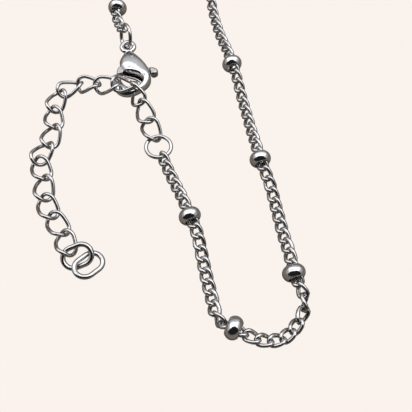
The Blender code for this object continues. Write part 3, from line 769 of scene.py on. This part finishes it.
def add_outline_block(outline, low, high):
    """A flat outline of the clasp's frame, drawn from a circle and raised between two heights."""
    deselect()
    bpy.ops.mesh.primitive_circle_add(vertices=len(outline), radius=1.0, fill_type="NGON")
    block = bpy.context.object
    for vertex, (x, y) in zip(block.data.vertices, outline):
        vertex.co = (x * MM, y * MM, low * MM)
    bpy.ops.object.mode_set(mode="EDIT")
    bpy.ops.mesh.select_all(action="SELECT")
    bpy.ops.mesh.extrude_region_move(TRANSFORM_OT_translate={"value": (0, 0, (high - low) * MM)})
    bpy.ops.mesh.select_all(action="SELECT")
    bpy.ops.mesh.normals_make_consistent(inside=False)
    bpy.ops.object.mode_set(mode="OBJECT")
    return block


def combine(piece, other, operation):
    """Joins another solid to a piece, or cuts it away, and removes it."""
    apply_modifier(piece, "BOOLEAN", operation=operation, object=other, solver="EXACT")
    bpy.data.objects.remove(other)


def melt(piece, grid, smoothing):
    """Melts a casting's parts into one skin and softens its edges, as buffing does."""
    apply_modifier(piece, "REMESH", mode="VOXEL", voxel_size=grid * MM)
    apply_modifier(piece, "SMOOTH", factor=0.5, iterations=smoothing)


class NECKLACE_OT_clasp(Operator):
    """Casts the clasp's body and presses its lever"""

    bl_idname = "necklace.clasp"
    bl_label = "Lobster Clasp"

    def execute(self, context):
        place = in_frame(clasp_place())
        body = self.claw()
        combine(body, self.eye(), "UNION")
        combine(body, add_outline_block(SLOT_OUTLINE, *SLOT_HEIGHTS), "DIFFERENCE")
        melt(body, BODY_GRID, BODY_SMOOTHING)
        body.data.transform(place)
        # Cast stainless steel, buffed bright: broad soft waves under a mirror polish
        metal = steel_material("buffed_cast_steel", settings().finish.bright, roughness=0.06, spread=0.07,
                               grain=2.0, waves=0.05, scratches=0.0008, stretch=(0.1, 1, 1))
        finish_piece(body, "clasp_body_cast", metal, "necklace", ["clasp_body"])

        lever = add_outline_block(LEVER_OUTLINE, *LEVER_HEIGHTS)
        for outline, heights in ((GATE_OUTLINE, GATE_HEIGHTS), (NUB_OUTLINE, NUB_HEIGHTS)):
            end = add_outline_block(outline, *heights)
            apply_modifier(end, "BEVEL", width=LEVER_END_ROUNDING * MM, segments=5)
            combine(lever, end, "UNION")
        deselect()
        bpy.ops.mesh.primitive_cylinder_add(vertices=32, radius=PIN_HOLE_RADIUS * MM,
                                            depth=PIN_HOLE_LENGTH * MM,
                                            location=Vector((*CLASP_PIVOT, 0)) * MM)
        bpy.ops.object.transform_apply(location=True)
        combine(lever, bpy.context.object, "DIFFERENCE")
        melt(lever, LEVER_GRID, LEVER_SMOOTHING)
        lever.data.transform(place)
        # The lever is stamped from sheet and tumbled, so it is a little duller
        metal = steel_material("stamped_lever_steel", settings().finish.dull, roughness=0.16, spread=0.1,
                               grain=0.5, waves=0.01, scratches=0.002)
        finish_piece(lever, "clasp_lever_stamped", metal, "lever", ["clasp_lever"])
        # The pin is drawn wire, cut and left unpolished, so its ends stay grey and blurred
        metal = steel_material("drawn_pin_steel", settings().finish.dull, roughness=0.3, spread=0.1,
                               grain=0.3, waves=0.005, scratches=0.003)
        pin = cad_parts["clasp_rivet"]
        pin.data.materials.clear()
        pin.data.materials.append(metal)
        return {"FINISHED"}

    @staticmethod
    def claw(sides=24):
        """Neck, head, spine and hook in one: a disc extruded once per section, each ring then shaped."""
        deselect()
        bpy.ops.mesh.primitive_circle_add(vertices=sides, radius=1.0, fill_type="NGON")
        claw = bpy.context.object
        bpy.ops.object.mode_set(mode="EDIT")
        bpy.ops.mesh.select_all(action="SELECT")
        for _ in CLAW_SECTIONS[1:]:
            bpy.ops.mesh.extrude_region_move(TRANSFORM_OT_translate={"value": (0, 0, 1)})
        bpy.ops.object.mode_set(mode="OBJECT")
        for vertex in claw.data.vertices:
            x0, y0, x1, y1, low, high, square, lip = CLAW_SECTIONS[round(vertex.co.z)]
            inner, outer = Vector((x0, y0, (low + high) / 2)), Vector((x1, y1, (low + high) / 2))
            turn = math.atan2(vertex.co.y, vertex.co.x)
            across, upright = math.cos(turn), math.sin(turn)
            if across > 0:  # the outer side is squarer than the inner one
                across, upright = across**square, math.copysign(abs(upright) ** square, upright)
            place = (inner + outer) / 2 + (outer - inner) / 2 * across
            if across < 0 and upright < 0:  # the lower lip is fullest halfway round its quarter
                place += (inner - outer).normalized() * lip * math.sin(2 * turn)
            place.z += (high - low) / 2 * upright
            vertex.co = place * MM
        make_active(claw)
        bpy.ops.object.mode_set(mode="EDIT")
        bpy.ops.mesh.select_all(action="SELECT")
        bpy.ops.mesh.normals_make_consistent(inside=False)
        bpy.ops.object.mode_set(mode="OBJECT")
        apply_modifier(claw, "SUBSURF", levels=2, render_levels=2)
        return claw

    @staticmethod
    def eye():
        """The round eye that the clasp's ring goes through."""
        deselect()
        bpy.ops.mesh.primitive_torus_add(location=(0, 0, EYE_HEIGHT * MM), major_segments=64,
                                         minor_segments=24, major_radius=EYE_RADIUS * MM,
                                         minor_radius=EYE_RIM_RADIUS * MM)
        eye = bpy.context.object
        bpy.ops.object.transform_apply(location=True)
        return eye


class NECKLACE_OT_stage(Operator):
    """Sets the pale table, the studio light and the camera"""

    bl_idname = "necklace.stage"
    bl_label = "Stage"

    def execute(self, context):
        self.add_table()
        self.add_surroundings()
        self.add_camera()
        context.scene.view_settings.view_transform = "Standard"
        return {"FINISHED"}

    @staticmethod
    def add_table():
        """The floor of a closed drum of card, so that every view has a plain pale ground."""
        deselect()
        bpy.ops.mesh.primitive_circle_add(vertices=96, radius=DRUM_RADIUS, fill_type="NGON",
                                          location=(0, 0, TABLE_LEVEL))
        table = bpy.context.object
        bpy.ops.object.transform_apply(location=True)
        bpy.ops.object.mode_set(mode="EDIT")
        bpy.ops.mesh.select_all(action="SELECT")
        bpy.ops.mesh.extrude_region_move(TRANSFORM_OT_translate={"value": (0, 0, DRUM_HEIGHT)})
        bpy.ops.mesh.select_all(action="SELECT")
        bpy.ops.mesh.normals_make_consistent(inside=True)
        bpy.ops.object.mode_set(mode="OBJECT")
        table.name = "table"
        # Matt cream card in even light: the same tone all over, with no shadow and no glare
        material = bpy.data.materials.new("matt_cream_card")
        material.use_nodes = True
        shader = material.node_tree.nodes["Principled BSDF"]
        shader.inputs["Base Color"].default_value = (0.0, 0.0, 0.0, 1.0)
        shader.inputs["Specular IOR Level"].default_value = 0.0
        shader.inputs["Emission Color"].default_value = (*settings().finish.table, 1.0)
        shader.inputs["Emission Strength"].default_value = 1.0
        table.data.materials.append(material)
        table.visible_glossy = False
        table.visible_shadow = False

    @staticmethod
    def add_surroundings():
        """A dark studio with one long softbox behind and above the necklace, and a dim room below it."""
        world = bpy.data.worlds.new("studio")
        world.use_nodes = True
        bpy.context.scene.world = world
        tree = world.node_tree
        direction = add_node(tree, "ShaderNodeTexCoord").outputs["Generated"]
        parts = add_node(tree, "ShaderNodeSeparateXYZ", Vector=direction).outputs
        # How far a direction lies along the softbox's short way
        across = add_node(tree, "ShaderNodeVectorMath", {"operation": "DOT_PRODUCT"},
                          i0=direction, i1=SOFTBOX_SHORT_WAY)
        box = ramp(tree, across.outputs["Value"], -1, 1, SOFTBOX_ACROSS)
        sideways = add_node(tree, "ShaderNodeMath", {"operation": "ABSOLUTE"}, i0=parts["X"])
        ends = ramp(tree, sideways.outputs["Value"], 0, 1, SOFTBOX_ALONG)
        bar = add_node(tree, "ShaderNodeMath", {"operation": "MAXIMUM"},
                       i0=ramp(tree, across.outputs["Value"], -1, 1, BAR_ACROSS),
                       i1=ramp(tree, parts["X"], -1, 1, BAR_ALONG))
        open_box = add_node(tree, "ShaderNodeMath", {"operation": "MULTIPLY"},
                            i0=box, i1=bar.outputs["Value"])
        lit = add_node(tree, "ShaderNodeMath", {"operation": "MULTIPLY"},
                       i0=open_box.outputs["Value"], i1=ends)
        room = ramp(tree, parts["Z"], -1, 1, ROOM_BY_HEIGHT)
        above = add_node(tree, "ShaderNodeMapRange", Value=parts["Z"],
                         **{"From Min": 0.0, "From Max": ROOM_TOP})
        cool = add_node(tree, "ShaderNodeBackground", Color=linear(SOFTBOX_LIGHT),
                        Strength=lit.outputs["Value"])
        warm = add_node(tree, "ShaderNodeBackground", Color=linear(ROOM_LIGHT), Strength=room)
        both = add_node(tree, "ShaderNodeMixShader", Fac=above.outputs["Result"],
                        i1=warm.outputs[0], i2=cool.outputs[0])
        tree.links.new(both.outputs[0], tree.nodes["World Output"].inputs["Surface"])

    @staticmethod
    def add_camera():
        """The photograph's view, straight along +Y and down at the table."""
        data = bpy.data.cameras.new("camera")
        data.sensor_width = SENSOR_WIDTH
        data.lens = SENSOR_WIDTH * FOCAL_PIXELS / IMAGE_WIDTH
        data.clip_start = 1 * MM
        camera = bpy.data.objects.new("camera", data)
        bpy.context.scene.collection.objects.link(camera)
        elevation = math.radians(VIEW_ELEVATION)
        back = Vector((0, -math.cos(elevation), math.sin(elevation))) * VIEW_DISTANCE * MM
        camera.location = TABLE_SHIFT + back
        camera.rotation_euler = (math.pi / 2 - elevation, 0, 0)
        bpy.context.scene.camera = camera


class NECKLACE_PT_panel(Panel):
    """Lists the steps that build the necklace"""

    bl_label = "Necklace"
    bl_idname = "NECKLACE_PT_panel"
    bl_space_type = "VIEW_3D"
    bl_region_type = "UI"
    bl_category = "Necklace"

    def draw(self, context):
        for step in OPERATORS:
            self.layout.operator(step.bl_idname)
        for group in (settings().wires, settings().beads, settings().finish):
            box = self.layout.box()
            for name in group.bl_rna.properties.keys():
                if name not in ("rna_type", "name"):
                    box.prop(group, name)


OPERATORS = (NECKLACE_OT_chain, NECKLACE_OT_beads, NECKLACE_OT_extender, NECKLACE_OT_clasp, NECKLACE_OT_stage)
CLASSES = (WireSizes, BeadSizes, Finish, NecklaceSettings, *OPERATORS, NECKLACE_PT_panel)


def register():
    for cls in CLASSES:
        bpy.utils.register_class(cls)
    bpy.types.Scene.necklace = PointerProperty(type=NecklaceSettings)


def unregister():
    del bpy.types.Scene.necklace
    for cls in reversed(CLASSES):
        bpy.utils.unregister_class(cls)


def main():
    register()
    bpy.ops.necklace.chain()
    bpy.ops.necklace.beads()
    bpy.ops.necklace.extender()
    bpy.ops.necklace.clasp()
    bpy.ops.necklace.stage()


if __name__ == "__main__":
    main()
